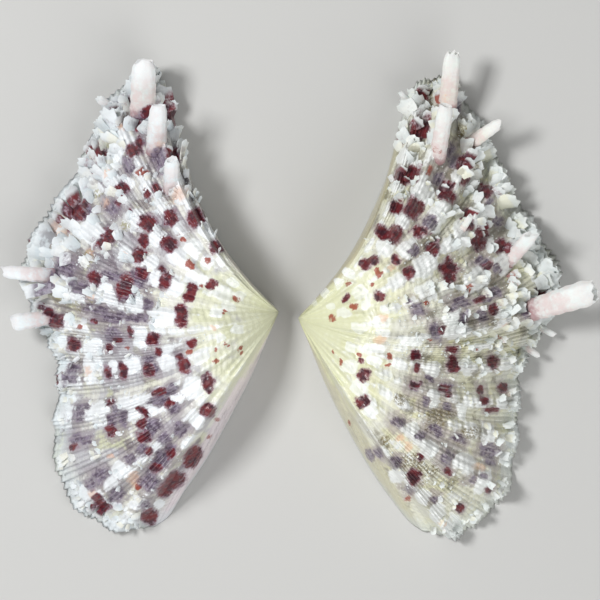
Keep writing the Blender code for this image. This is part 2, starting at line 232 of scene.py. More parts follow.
rightMarks = {
    "wine": [
        (421, 98, 4, 2), (422, 129, 7, 6), (401, 140, 5, 4), (415, 134, 5, 5), (463, 163, 5, 6),
        (403, 176, 7, 5), (414, 174, 5, 7), (446, 190, 4, 8), (464, 181, 2, 4), (485, 190, 7, 4),
        (450, 198, 3, 4), (396, 208, 5, 4), (414, 208, 7, 8), (466, 216, 4, 6), (470, 224, 3, 5),
        (382, 232, 6, 5), (395, 235, 6, 7), (419, 232, 6, 5), (482, 232, 6, 3), (434, 248, 4, 6),
        (478, 242, 6, 5), (500, 244, 5, 4), (375, 261, 4, 3), (396, 259, 2, 4), (367, 264, 4, 4),
        (409, 273, 4, 4), (448, 268, 6, 7), (487, 265, 4, 3), (449, 279, 3, 4), (346, 298, 4, 3),
        (381, 295, 3, 5), (479, 298, 5, 2), (536, 297, 5, 4), (494, 309, 4, 4), (442, 331, 2, 4),
        (416, 354, 3, 3), (452, 350, 4, 3), (360, 361, 2, 2), (418, 367, 2, 4),
        (452, 364, 4, 6), (492, 362, 4, 5), (364, 376, 4, 5), (415, 386, 3, 3), (444, 389, 4, 3),
        (480, 389, 3, 4), (503, 389, 3, 4), (363, 401, 6, 4), (449, 396, 2, 2), (484, 400, 3, 3),
        (491, 411, 5, 2), (420, 457, 2, 2), (414, 477, 7, 4), (448, 470, 3, 3), (489, 488, 3, 3),
        (460, 508, 3, 2),
    ],
    "plum": [
        (457, 109, 3, 4), (468, 133, 3, 4), (450, 150, 3, 6), (454, 162, 3, 6), (438, 179, 3, 5),
        (490, 202, 3, 2), (430, 222, 5, 6), (498, 222, 5, 4), (414, 250, 3, 4), (435, 246, 4, 4),
        (482, 260, 6, 3), (530, 254, 2, 2), (496, 270, 4, 2), (490, 294, 10, 3), (410, 300, 3, 2),
        (418, 309, 5, 5), (460, 303, 10, 3), (464, 317, 4, 4), (482, 316, 3, 5), (524, 314, 2, 5),
        (435, 332, 4, 7), (430, 378, 6, 2), (415, 387, 3, 4), (446, 389, 5, 5), (426, 401, 3, 4),
        (448, 407, 4, 3), (398, 422, 6, 3), (436, 430, 8, 3), (421, 436, 2, 6), (458, 439, 6, 3),
        (380, 454, 4, 5), (488, 449, 9, 5), (370, 456, 5, 4), (396, 463, 7, 3), (448, 458, 4, 7),
        (490, 460, 4, 3), (484, 478, 3, 2), (408, 490, 6, 3), (473, 480, 3, 3), (434, 500, 4, 3),
    ],
    "rust": [
        (439, 102, 3, 2), (436, 148, 4, 4), (430, 170, 3, 5), (379, 273, 2, 4), (348, 284, 2, 2),
        (373, 284, 2, 2), (510, 281, 4, 4), (466, 288, 3, 4), (354, 307, 2, 4), (426, 301, 2, 2),
        (331, 318, 3, 3), (428, 340, 2, 2), (497, 340, 2, 4), (335, 352, 2, 2), (359, 354, 2, 2),
        (388, 356, 3, 3), (479, 348, 2, 2), (342, 363, 2, 2), (388, 366, 2, 3), (350, 423, 2, 3),
        (407, 498, 4, 2),
    ],
    "peach": [
        (450, 88, 2, 2), (448, 96, 4, 6), (442, 131, 2, 3), (440, 138, 5, 5), (390, 268, 4, 3),
        (384, 319, 3, 3), (504, 326, 4, 2), (380, 340, 5, 3), (400, 438, 3, 3), (406, 446, 3, 3),
        (480, 467, 6, 3), (444, 522, 4, 2),
    ],
    "snow": [
        (416, 112, 6, 6), (402, 156, 6, 9), (414, 156, 5, 9), (398, 187, 8, 7), (457, 180, 4, 12),
        (471, 180, 6, 10), (498, 180, 7, 9), (423, 193, 11, 13), (443, 208, 6, 7),
        (479, 215, 9, 12), (404, 220, 6, 9), (435, 220, 9, 12), (460, 225, 5, 8),
        (534, 232, 12, 8), (386, 248, 8, 9), (409, 249, 9, 9), (447, 246, 8, 7), (491, 244, 5, 7),
        (522, 244, 12, 8), (503, 263, 12, 8), (426, 265, 11, 11), (397, 280, 9, 5),
        (476, 279, 14, 9), (361, 292, 9, 4), (426, 289, 9, 6), (502, 310, 10, 6),
        (529, 306, 12, 6), (381, 323, 10, 5), (452, 318, 10, 6), (458, 331, 13, 7),
        (460, 326, 9, 4), (410, 341, 11, 5), (482, 346, 8, 4), (375, 348, 10, 4), (374, 362, 8, 3),
        (400, 366, 9, 4), (433, 369, 8, 8), (463, 365, 9, 6), (506, 361, 8, 8), (360, 387, 8, 7),
        (433, 399, 6, 9), (480, 404, 6, 4), (369, 411, 7, 6), (462, 411, 5, 9), (413, 432, 9, 7),
        (430, 450, 8, 9), (465, 462, 12, 6), (506, 459, 7, 4), (396, 476, 9, 6), (480, 487, 4, 9),
        (423, 495, 9, 6), (438, 512, 11, 6), (456, 523, 9, 7),
        (344, 313, 7, 4), (366, 305, 6, 5), (361, 327, 8, 5), (382, 333, 7, 4), (351, 347, 6, 3),
        (351, 367, 8, 5), (312, 303, 5, 3), (325, 293, 5, 3), (338, 283, 5, 4), (350, 273, 6, 4),
        (332, 306, 4, 3),
    ],
    "grit": [
        (405, 462, 5, 6), (420, 466, 6, 5), (431, 471, 6, 5), (394, 464, 6, 4), (437, 417, 6, 5),
        (432, 428, 7, 3), (458, 440, 5, 4), (449, 415, 4, 3), (423, 475, 4, 3), (386, 440, 5, 2),
        (440, 423, 5, 3), (414, 458, 5, 4), (470, 432, 8, 3), (402, 398, 5, 4),
        (428, 100, 1.5, 6), (429, 113, 1.5, 7), (462, 130, 2, 5), (477, 168, 2, 5), (511, 200, 4, 4),
        (433, 80, 4, 3),
    ],
}
valves = {
    "left": {
        "side": -1, "rays": leftRays, "marks": leftMarks, "spines": leftSpines,
        "seed": 11, "crumbs": 0.7,
    },
    "right": {
        "side": 1, "rays": rightRays, "marks": rightMarks, "spines": rightSpines,
        "seed": 23, "crumbs": 1.0,
    },
}

markForm = {
    "grow": {  # how many times as wide a mark gets, and how many pixels wider
        "wine": (1.08, 0.8), "plum": (1.05, 0.8), "rust": (0.9, 0.2), "peach": (1.0, 0.5),
        "snow": (0.95, 0.6), "grit": (1.1, 0.8),
    },
    "warp": ((2.2, 9.0, 5), (1.3, 4.0, 7)),  # how far, how wide and which lumps bend the outlines
    "square": 3.4,  # 2 would make the marks round, and more makes their corners sharper
    "window": 30,  # pixels round a mark's middle that are looked at
    "reach": 1.2, "stretch": 1.5,  # how far below and above its middle a mark goes on a steep side
}
lumpCells = 96  # after so many cells the lumps repeat
boxRoom = {"over": 0.0003, "ease": 0.001, "ground": 0.00002}  # metres


def smoothStep(low, high, value):
    t = np.clip((value - low) / (high - low), 0.0, 1.0)
    return t * t * (3 - 2 * t)


def blendKeys(keys, place):  # the smooth closed curve through the keys, one key at a whole place
    keys = np.asarray(keys, float)
    start = np.floor(place).astype(int)
    t = place - start
    if keys.ndim > 1:
        t = t[..., None]
    before, here, after, beyond = (keys[(start + step) % len(keys)] for step in (-1, 0, 1, 2))
    return 0.5 * (
        2 * here + (after - before) * t + (2 * before - 5 * here + 4 * after - beyond) * t ** 2
        + (3 * here - before - 3 * after + beyond) * t ** 3
    )


def unitWays(ways):
    return ways / np.linalg.norm(ways, axis=1)[:, None]


def ribStrength(rays, place):  # how much of a rib stands at place
    strengths = np.array([ray[2] for ray in rays] + [rays[0][2]])
    return np.clip(np.interp(place % len(rays), np.arange(len(rays) + 1), strengths), 0.0, None)


def furrowAt(place):  # 0 on a rib's crest, 1 in the furrow halfway to the next rib
    return np.sin(np.pi * (place % 1.0)) ** 2


def ribletWave(place, growth):  # fine ribs on the ribs, half as many near the beak
    many = smoothStep(0.35, 0.7, growth)
    few = np.cos(2 * np.pi * form["beakRiblets"] * place)
    return (1 - many) * few + many * np.cos(2 * np.pi * form["riblets"] * place)


def blockAt(rays, place, growth, seed):  # how white each block of a rib is, and the grooves between
    chances = np.random.default_rng(seed).random((len(rays) + 1, 40))
    rib = np.rint(place).astype(int) % len(rays)
    stagger = (rib * 0.37) % 1 * 2
    step = growth * form["blocks"] + stagger + 4 + 0.5 * (place - rib) * np.cos(rib * 2.1)
    row = np.floor(step).astype(int)
    t = smoothStep(0.34, 0.66, step - row)
    return chances[rib, row] * (1 - t) + chances[rib, row + 1] * t, 4 * t * (1 - t)


def grainAt(plan, cell, seed):  # lumps about one cell wide, from -1 to 1
    lattice = np.random.default_rng(seed).random((lumpCells, lumpCells)) * 2 - 1
    spot = plan / cell + 500.0  # the 500 keeps it above zero
    low = np.floor(spot).astype(int)
    t = spot - low
    t = t * t * (3 - 2 * t)
    x0, y0 = low[:, 0] % lumpCells, low[:, 1] % lumpCells
    x1, y1 = (x0 + 1) % lumpCells, (y0 + 1) % lumpCells
    lower = lattice[x0, y0] * (1 - t[:, 0]) + lattice[x1, y0] * t[:, 0]
    upper = lattice[x0, y1] * (1 - t[:, 0]) + lattice[x1, y1] * t[:, 0]
    return lower * (1 - t[:, 1]) + upper * t[:, 1]


def edgeAt(rays, place):  # the edge at place, its lift off the ground and the way inwards
    strength = ribStrength(rays, place)
    outline = blendKeys([ray[0] for ray in rays], place)
    inward = unitWays(np.array(form["hollowTop"]) - outline)
    furrow = furrowAt(place)
    outline = outline + inward * (form["edgeNotch"] * furrow * strength)[:, None]
    return outline, form["edgeLift"] * strength * (1 - furrow), inward, strength, furrow


ledgeAt = np.array(sum(([lip, lip + form["lipStep"]] for lip in form["lips"]), [0.0, 0.1]) + [1.0])
ledgeHeight = np.array([0.0, 0.0] + [1.0, -0.35] * len(form["lips"]) + [0.0])


def outsideAt(valve, place, share, detail=1.0):
    # The outside on the ray at place, at a share of growth from 0 at the beak to 1 at the edge.
    # A detail of 0 leaves out what is finer than the solids.
    rays = valve["rays"]
    edge, lift, inward, strength, furrow = edgeAt(rays, place)
    turn = place * np.pi * 2
    wobble = np.sin(turn * 12 / len(rays)) * form["wobble"] + np.sin(turn) * form["drift"]
    growth = share + detail * wobble * share * (1 - share ** 6) / form["fineLips"]
    growth = np.clip(growth, 0.0, 1.0)
    bend = blendKeys([ray[1] for ray in rays], place)
    toward = (2 * growth * (1 - growth))[:, None]
    wave = ribletWave(place, growth)
    jag = grainAt(np.column_stack([place * form["jagsPerRib"], 0 * place]), 1.0, valve["seed"] + 2)
    teeth = wave * (form["teeth"] + form["teethVary"] * jag) + form["jag"] * jag
    scallop = detail * teeth * growth ** 8 * np.minimum(1.0, strength * 2)
    plan = toward * bend + (growth ** 2)[:, None] * edge - inward * scallop[:, None]
    rise = growth ** form["rise"]
    folds = form["foldDepth"] * growth * (1 - growth ** 3)
    folds = folds * (1 - detail * 0.9 * (1 - smoothStep(0.2, 0.65, growth)))
    height = form["beakHeight"] * (1 - growth) ** 1.5
    height = height + blendKeys(crowns, place) * 4 * rise * (1 - rise)
    height -= folds * strength * (furrow + form["weakRibDrop"] * (1 - strength))
    height += lift * growth ** 3
    crest = strength * (1 - furrow)
    height += np.interp(growth, ledgeAt, ledgeHeight) * form["ledge"] * crest * (0.4 + 0.6 * growth)
    if detail:
        fine = (share * form["fineLips"]) % 1.0
        rough = 0.35 + 0.65 * np.minimum(1, crest * 1.6)
        near = np.sin(np.pi * np.clip(growth, 0, 1)) ** 0.35
        height += detail * (fine - 0.5) * form["fineLedge"] * (0.2 + 0.8 * growth) * rough * near
        height += detail * wave * form["ribletHeight"] * smoothStep(0.2, 0.75, growth) * near
        block, groove = blockAt(rays, place, growth, valve["seed"])
        swell = (block - 0.5) * form["blockHeight"] - groove * form["grooveDepth"]
        height += detail * swell * crest * growth * near
        lumps = grainAt(plan, form["grainWidth"], valve["seed"])
        lumps = lumps + 0.6 * grainAt(plan, 0.27, valve["seed"] + 1)
        height += detail * lumps * form["grain"] * growth * near * rough
    return np.column_stack([plan, np.maximum(height, lift)]), growth, crest


def hollowAt(valve, place, share):  # the inside, from 0 at its top to 1 at the edge
    edge, lift, inward = edgeAt(valve["rays"], place)[:3]
    outline = edge + inward * blendKeys(walls, place)[:, None]
    top = np.array(form["hollowTop"])
    plan = top + (outline - top) * share[:, None]
    height = lift + (form["hollowHeight"] - lift) * (1 - share ** 1.9)
    return np.column_stack([plan, height])


def placeOnGround(spots, side):  # from a valve's millimetres to the object's metres
    across = side * (spots[:, 0] + form["beakGap"] / 2) - form["pairMiddle"][0]
    along = spots[:, 1] - side * form["beakStep"] / 2 - form["pairMiddle"][1]
    return np.column_stack([across, along, spots[:, 2]]) * mm


def photoSpot(spots):  # where the camera sees spots that are in metres, in the photograph's pixels
    nearer = view["distance"] / (view["distance"] - spots[:, 2] / mm) / view["pixel"]
    middle = view["pixels"] / 2
    across = middle + (spots[:, 0] / mm - view["middle"][0]) * nearer
    down = middle - (spots[:, 1] / mm - view["middle"][1]) * nearer
    return np.column_stack([across, down])


def markField(valve, kind, spots, around=0.0):
    # 1 inside the marks, a half on their outlines and 0 well outside. The marks can be taken as
    # wider by so many pixels all around.
    seen = photoSpot(spots)
    grow, more = markForm["grow"][kind]
    warp = sum(
        size * np.column_stack([grainAt(seen, cell, seed), grainAt(seen, cell, seed + 1)])
        for size, cell, seed in markForm["warp"]
    )
    field = np.zeros(len(seen))
    samples, window, square = valve["samples"], markForm["window"], markForm["square"]
    for x, y, halfWidth, halfHeight in valve["marks"][kind]:
        near = (np.abs(seen[:, 0] - x) < window) & (np.abs(seen[:, 1] - y) < window)
        offset = seen[near] + warp[near] - (x, y)
        closest = np.argmin(((samples[:, :2] - (x, y)) ** 2).sum(1))
        c, s, level = samples[closest, 2:]
        halfWidth = halfWidth * grow + more + around
        halfHeight = halfHeight * grow + more + around
        on = np.abs(offset[:, 0] * c + offset[:, 1] * s) / math.hypot(halfWidth * c, halfHeight * s)
        over = np.abs(offset[:, 1] * c - offset[:, 0] * s) / math.hypot(halfWidth * s, halfHeight * c)
        reach = markForm["reach"] + markForm["stretch"] * max(halfWidth, halfHeight) * view["pixel"]
        under = np.abs(spots[near, 2] / mm - level) / reach
        far = (on ** square + over ** square + under ** square) ** (1 / square)
        field[near] = np.maximum(field[near], np.clip(1.5 - far, 0.0, 1.0))
    return field


def plainGround(valve, places, shares):  # the outside without its detail, in the object's metres
    return placeOnGround(outsideAt(valve, places, shares, 0.0)[0], valve["side"])


def sampleRibs(valve):  # seen spots all over the ribs, with the way that the rib runs there
    grid = np.meshgrid(np.arange(0, len(valve["rays"]), 0.2), np.arange(0.04, 1, 0.02))
    places, shares = (part.ravel() for part in grid)
    spots = plainGround(valve, places, shares)
    onward = plainGround(valve, places, shares + 0.02)
    way = unitWays(photoSpot(onward) - photoSpot(spots))
    valve["samples"] = np.hstack([photoSpot(spots), way, spots[:, 2:] / mm])


def readSpots(mesh):
    spots = np.empty(len(mesh.vertices) * 3, np.float32)
    mesh.vertices.foreach_get("co", spots)
    return spots.reshape(-1, 3).astype(float)


def writeSpots(mesh, spots):
    mesh.vertices.foreach_set("co", np.ascontiguousarray(spots, np.float32).ravel())
    mesh.update()


def readField(mesh, name):
    values = np.empty(len(mesh.vertices), np.float32)
    mesh.attributes[name].data.foreach_get("value", values)
    return values.astype(float)


def keepInBox(mesh):  # nothing dips into the ground or stands higher than the solids
    spots = readSpots(mesh)
    ease, top = boxRoom["ease"], cadBounds[1][2] + boxRoom["over"]
    over = spots[:, 2] > top - ease
    spots[over, 2] = top - ease * np.exp((top - ease - spots[over, 2]) / ease)
    spots[:, 2] = np.maximum(spots[:, 2], boxRoom["ground"])
    writeSpots(mesh, spots)


def writeFields(mesh, **fields):
    for name, values in fields.items():
        layer = mesh.attributes.new(name, "FLOAT", "POINT")
        layer.data.foreach_set("value", np.ascontiguousarray(values, np.float32))


def meshFrom(shape, name):
    mesh = bpy.data.meshes.new(name)
    shape.to_mesh(mesh)
    shape.free()
    return mesh


def sheetOf(name, columns, rings):  # a sheet to be rolled up, with each vertex's ring and column
    sheet = bmesh.new()
    bmesh.ops.create_grid(sheet, x_segments=columns, y_segments=rings, size=1.0)
    mesh = meshFrom(sheet, name)
    spots = readSpots(mesh)
    column = np.rint((spots[:, 0] + 1) / 2 * columns).astype(int) % columns
    return mesh, np.rint((1 - spots[:, 1]) / 2 * rings).astype(int), column


def closeSheet(mesh, ring, column):  # welds the rolled sheet's seam and its two poles
    solid = bmesh.new()
    solid.from_mesh(mesh)
    solid.verts.ensure_lookup_table()
    ends = (column == 0) | (ring == 0) | (ring == ring.max())
    welded = [solid.verts[index] for index in np.nonzero(ends)[0]]
    bmesh.ops.remove_doubles(solid, verts=welded, dist=1e-8)
    if solid.calc_volume(signed=True) < 0:
        bmesh.ops.reverse_faces(solid, faces=solid.faces)
    solid.to_mesh(mesh)
    solid.free()
    mesh.shade_smooth()


def newObject(name, data):
    made = bpy.data.objects.new(name, data)
    bpy.context.scene.collection.objects.link(made)
    return made


def addPiece(mesh, name, finish, valveName, replaces=None):
    piece = newObject(name, mesh)
    mesh.materials.clear()
    mesh.materials.append(finish)
    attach(piece, "root")
    valveName + "_shell"
    if replaces:
        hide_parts(replaces)


def addJoined(joined, name, finish, valveName, sharpAngle, makeFields=None):
    mesh = meshFrom(joined, name)
    if makeFields:
        writeFields(mesh, **makeFields(mesh))
    keepInBox(mesh)
    mesh.shade_smooth()
    mesh.set_sharp_from_angle(angle=math.radians(sharpAngle))
    addPiece(mesh, name, finish, valveName)


def columnPlaces(rays):  # the sheet's columns, close together on the ribs
    places = []
    for key, ray in enumerate(rays):
        folded = ray[2] > 0 and rays[(key + 1) % len(rays)][2] > 0
        count = form["ribColumns"] if folded else form["smoothColumns"]
        places += [key + step / count for step in range(count)]
    return np.array(places)


def growthRows():  # three rows to a fine lip: its foot, its rise and its brow
    rows = [0.02]
    for lip in range(1, form["fineLips"]):
        rows += [(lip + part) / form["fineLips"] for part in form["lipRows"]]
    return np.array([row for row in rows if row < 0.995] + [1.0])


def makeShell(valveName, finish):
    valve = valves[valveName]
    places = columnPlaces(valve["rays"])
    rows = growthRows()
    inner = np.linspace(1, 0, form["insideRings"] + 1) ** 0.8
    rings = len(rows) + len(inner)
    mesh, ring, column = sheetOf(valveName + "Shell", len(places), rings)
    place = places[column]
    outside = ring <= len(rows)
    share = np.where(ring == 0, 0.0, rows[np.clip(ring - 1, 0, len(rows) - 1)])
    spots, growth, crest = outsideAt(valve, place, share)
    spots[ring == 0] = (0.0, 0.0, form["beakHeight"])
    inside = ~outside
    innerShare = inner[np.clip(ring - len(rows) - 1, 0, len(inner) - 1)]
    hollow = hollowAt(valve, place, innerShare)
    spots[inside] = hollow[inside]
    keepWall(mesh, spots, outside, innerShare)
    placed = placeOnGround(spots, valve["side"])
    fields = {kind: markField(valve, kind, placed) * outside for kind in valve["marks"]}
    around = np.maximum(markField(valve, "wine", placed, 4.0), markField(valve, "plum", placed, 7.0))
    dark = np.maximum(fields["wine"], fields["plum"])
    fields["snow"] *= 1 - smoothStep(0.3, 0.6, dark)
    swell = form["snowHeight"] * smoothStep(0.35, 0.9, fields["snow"]) * smoothStep(0.25, 0.6, growth)
    spots[:, 2] += swell * (1 - growth ** 12)
    writeSpots(mesh, placeOnGround(spots, valve["side"]))
    block, groove = blockAt(valve["rays"], place, growth, valve["seed"])
    smooth = 1 - smoothStep(0.0, 0.3, ribStrength(valve["rays"], place))
    writeFields(
        mesh, growth=np.where(outside, growth, 1.0), crest=crest * outside, inside=inside * 1.0,
        riblet=ribletWave(place, growth) * outside,
        block=block * outside, groove=groove * outside, around=around * outside,
        upper=1 - smoothStep(11, 14, place),
        side=smooth * outside,
        stripe=np.cos(2 * np.pi * form["stripes"] * place) * outside, **fields,
    )
    closeSheet(mesh, ring, column)
    addPiece(mesh, valveName + "Shell", finish, valveName, valveName + "_valve")
    print(valveName, "shell:", len(mesh.vertices), "vertices")


def keepWall(mesh, spots, outside, innerShare):  # lowers the hollow where the outside comes close
    writeSpots(mesh, spots)
    crust = bmesh.new()
    crust.from_mesh(mesh)
    crust.verts.ensure_lookup_table()
    under = [crust.verts[index] for index in np.nonzero(~outside)[0]]
    bmesh.ops.delete(crust, geom=under, context="VERTS")
    roof = BVHTree.FromBMesh(crust)
    crust.free()
    wall = form["wall"]
    for index in np.nonzero(~outside & (innerShare < 1.0))[0]:
        out, along, up = spots[index]
        for step in ((0, 0), (wall, 0), (-wall, 0), (0, wall), (0, -wall)):
            above = roof.ray_cast(Vector((out + step[0], along + step[1], -1)), Vector((0, 0, 1)))[0]
            if above:
                up = max(0.1, min(up, above.z - wall))
        spots[index, 2] = up


# A scale is a fluted petal of shell that stands up off a rib, and a pad is a broad one that lies
# down. A template lies on the origin, one unit long and wide, its open end towards +Y.
scaleForm = {
    "petal": {
        "across": 5, "ahead": 3, "arch": 0.27, "lift": 0.16, "thick": 0.06,
        "flutes": 0.04, "ragged": 0.28,
    },
    "pad": {
        "across": 6, "ahead": 4, "arch": 0.26, "lift": 0.1, "thick": 0.1,
        "flutes": 0.05, "ragged": 0.3,
    },
    "lean": 0.12, "variants": 6, "scaleSeed": 50, "crumbSeed": 80,
}


def scaleTemplate(kind, number):
    shape = scaleForm[kind]
    draw = np.random.default_rng(scaleForm["scaleSeed"] + number)
    petal = bmesh.new()
    bmesh.ops.create_grid(petal, x_segments=shape["across"], y_segments=shape["ahead"], size=0.5)
    ragged = (draw.random(shape["across"] + 1) - 0.35) * shape["ragged"]
    lean = draw.normal(0, scaleForm["lean"])
    for vert in petal.verts:
        across, ahead = vert.co.x, vert.co.y + 0.5
        column = round((across + 0.5) * shape["across"])
        corner = abs(2 * across) ** 3 * 0.2 * ahead
        reach = ahead * (1 + ragged[column] * max(0.0, ahead * 3 - 2)) - corner
        narrow = 0.7 + 0.5 * ahead - 0.15 * ahead ** 2
        hood = shape["arch"] * (1 - (2 * across) ** 2) * (0.4 + 0.6 * ahead)
        hood += shape["flutes"] * math.cos(math.tau * 3 * across) * ahead
        vert.co = (across * narrow + lean * ahead ** 2, reach, hood + shape["lift"] * ahead ** 2)
    bmesh.ops.solidify(petal, geom=petal.faces, thickness=shape["thick"])
    bmesh.ops.recalc_face_normals(petal, faces=petal.faces)
    mesh = meshFrom(petal, f"{kind}Template{number}")
    writeFields(mesh, tip=readSpots(mesh)[:, 1])
    return mesh


def crumbTemplate(number):  # a lump of chalk, 20 faces
    crumb = bmesh.new()
    bmesh.ops.create_icosphere(crumb, subdivisions=1, radius=0.5)
    draw = np.random.default_rng(scaleForm["crumbSeed"] + number)
    for vert in crumb.verts:
        vert.co *= 0.8 + 0.4 * draw.random()
    mesh = meshFrom(crumb, f"crumbTemplate{number}")
    writeFields(mesh, tip=np.full(len(mesh.vertices), 0.9))
    return mesh


def surfaceFrame(valve, place, share):  # spots, and the ways on, across and up there, in metres
    spots = placeOnGround(outsideAt(valve, place, share)[0], valve["side"])
    onward = unitWays(plainGround(valve, place, share) - plainGround(valve, place, share - 0.04))
    sideways = plainGround(valve, place + 0.06, share) - plainGround(valve, place - 0.06, share)
    edgeward = smoothStep(0.8, 0.97, share)  # near the edge a scale points out and not down
    onward[:, 2] = np.maximum(onward[:, 2], -0.9 + 0.85 * edgeward)
    onward = unitWays(onward)
    spots[:, 2] += 0.0004 * edgeward * (spots[:, 2] < 0.001)
    upward = unitWays(np.cross(sideways, onward))
    upward *= np.where(upward[:, 2] < 0, -1.0, 1.0)[:, None]
    return spots, onward, np.cross(onward, upward), upward


def addCopies(joined, templates, frames, sizes, tilts, turns, sink, fields):
    # Joins copies of the templates to a mesh, each set on its frame, tipped up and turned.
    draw = np.random.default_rng(len(tilts))
    spots, onward, across, upward = frames
    for index, choice in enumerate(draw.integers(0, len(templates), len(tilts))):
        up, side = Vector(upward[index]), Vector(across[index])
        ahead = Vector(onward[index]) * math.cos(turns[index]) + side * math.sin(turns[index])
        side = ahead.cross(up)
        ahead = ahead * math.cos(tilts[index]) + up * math.sin(tilts[index])
        width, length, height = (size * mm for size in sizes[index])
        axes = Matrix((side * width, ahead * length, side.cross(ahead) * height))
        place = axes.transposed().to_4x4()
        place.translation = Vector(spots[index]) - up * sink * mm
        copy = templates[choice].copy()
        copy.transform(place)
        count = len(copy.vertices)
        writeFields(copy, **{name: np.full(count, values[index]) for name, values in fields.items()})
        joined.from_mesh(copy)
        bpy.data.meshes.remove(copy)


scaleLook = {
    # Rows from the first share of growth on, and where they stand across a rib
    "petals": {"rows": 26, "columns": (-0.36, -0.24, -0.12, 0.0, 0.12, 0.24, 0.36), "first": 0.3},
    "pads": {"rows": 17, "columns": (-0.2, 0.16), "first": 0.4},
    "crumbs": {
        "rows": 44, "columns": (-0.4, -0.3, -0.2, -0.1, 0.0, 0.1, 0.2, 0.3, 0.4), "first": 0.3,
    },
    "petalSize": 0.8, "marginSize": 1.75, "lowerSize": 0.5, "petalTilt": 27, "padWidth": 0.28,
    "padTilt": 12, "crumbSize": 0.24, "sizeVary": 0.22, "jitter": 0.012, "turn": 0.25,
    "sink": 0.12, "crumbSink": 0.04, "clusterWidth": 28.0, "sharpAngle": 38,
    # How likely a place is taken. For pads and crumbs: everywhere, and at most added to that. For
    # petals: on the upper lobes, on the lower ones, added at the margin. For the edge: on the
    # lower lobes, added on the upper ones.
    "padCrowd": (0.12, 0.38), "petalCrowd": (0.32, 0.15, 0.3), "edgeCrowd": (0.45, 0.3),
    "crumbCrowd": (0.03, 0.4),
}


def markFields(valve, spots):
    return {kind: markField(valve, kind, spots) for kind in valve["marks"]}


def scatter(valve, draw, rows, columns, first, jitter):  # places on the ribs, row by row
    ribs = np.arange(6, 20)
    rib, row, column = (part.ravel() for part in np.meshgrid(ribs, np.arange(rows + 1), columns))
    places = rib + column + draw.normal(0, 0.03, len(rib))
    stagger = ((rib * 0.37) % 1 - 0.5) / rows * (row < rows)
    shares = first + (1 - first) * (row / rows + stagger) + draw.normal(0, jitter, len(rib))
    keep = (ribStrength(valve["rays"], places) > 0.05) & (places > 5.6) & (places < 19.6)
    return places[keep], np.clip(shares[keep], first * 0.8, 1.0), (row == rows)[keep]


def pullIn(valve, places, shares, lengths):  # so that the tips of edge scales end at the outline
    tip = outsideAt(valve, places, np.ones(len(places)), 0.0)[0]
    before = outsideAt(valve, places, np.full(len(places), 0.96), 0.0)[0]
    pace = np.linalg.norm((tip - before)[:, :2], axis=1) / 0.04
    return np.minimum(shares, 1.0 - (lengths * 1.2 + 0.25) / pace)


def makeScales(valveName, finish, templates):  # every pad, petal and crumb of a valve
    valve = valves[valveName]
    draw = np.random.default_rng(valve["seed"])
    joined = bmesh.new()
    for kind in ("pads", "petals", "crumbs"):
        rows, columns, first = scaleLook[kind].values()
        places, shares, atEdge = scatter(valve, draw, rows, columns, first, scaleLook["jitter"])
        marks = markFields(valve, surfaceFrame(valve, places, shares)[0])
        dark = np.maximum(marks["wine"], marks["plum"])
        upper = 1 - smoothStep(11.5, 13.5, places)
        outer = smoothStep(0.6, 0.97, shares)
        chance = draw.random(len(places))
        if kind == "pads":
            inner, more = scaleLook["padCrowd"]
            keep = (dark < 0.2) & ~atEdge & (chance < (inner + more * outer) * upper)
        elif kind == "petals":
            above, below, rim = scaleLook["petalCrowd"]
            crowd = smoothStep(0.3, 0.95, shares) * (above * upper + below * (1 - upper))
            crowd = crowd + rim * smoothStep(0.9, 0.97, shares)
            keep = chance < crowd * np.where(dark > 0.4, 0.35, 1)
            least, more = scaleLook["edgeCrowd"]
            keep = keep | (atEdge & (chance < least + more * upper))
        else:
            least, more = scaleLook["crumbCrowd"]
            seen = photoSpot(surfaceFrame(valve, places, shares)[0])
            cluster = smoothStep(-0.1, 0.5, grainAt(seen, scaleLook["clusterWidth"], 31))
            crowd = (least + more * cluster) * valve["crumbs"] * (1 - smoothStep(0.1, 0.4, dark))
            keep = chance < smoothStep(0.25, 0.6, shares) * crowd
        places, shares, upper, outer = places[keep], shares[keep], upper[keep], outer[keep]
        count = len(places)
        vary = np.exp(draw.normal(0, scaleLook["sizeVary"], count))
        sink = scaleLook["sink"]
        if kind == "pads":
            gap = surfaceFrame(valve, places + 0.2, shares)[0]
            gap = gap - surfaceFrame(valve, places - 0.2, shares)[0]
            widths = np.linalg.norm(gap, axis=1) / mm / 0.4 * scaleLook["padWidth"] * vary
            widths = np.clip(widths, 0.5, 1.5)
            lengths = np.clip(widths * 1.2, 0.7, 1.6) * np.exp(draw.normal(0, 0.15, count))
            tilts = scaleLook["padTilt"] + draw.normal(0, 6, count) + 10 * outer
        elif kind == "petals":
            big = scaleLook["petalSize"] + (scaleLook["marginSize"] - scaleLook["petalSize"]) * outer
            big *= scaleLook["lowerSize"] + (1 - scaleLook["lowerSize"]) * upper
            widths = big * vary * 1.1
            lengths = big * np.exp(draw.normal(0.05, 0.25, count))
            tilts = scaleLook["petalTilt"] + draw.normal(0, 9, count) - 14 * smoothStep(0.9, 1.0, shares)
        else:
            widths = scaleLook["crumbSize"] * vary
            lengths = widths * np.exp(draw.normal(0, 0.2, count))
            tilts = draw.normal(0, 10, count)
            sink = scaleLook["crumbSink"]
        shares = pullIn(valve, places, shares, lengths)
        frames = surfaceFrame(valve, places, shares)
        sizes = np.column_stack([widths, lengths, widths * (0.9 - 0.25 * outer)])
        turns = draw.normal(0, scaleLook["turn"], count)
        fields = {"chance": draw.random(count), **markFields(valve, frames[0])}
        addCopies(joined, templates[kind], frames, sizes, np.radians(tilts), turns, sink, fields)
        print(valveName, kind + ":", count)
    addJoined(joined, valveName + "Scales", finish, valveName, scaleLook["sharpAngle"])


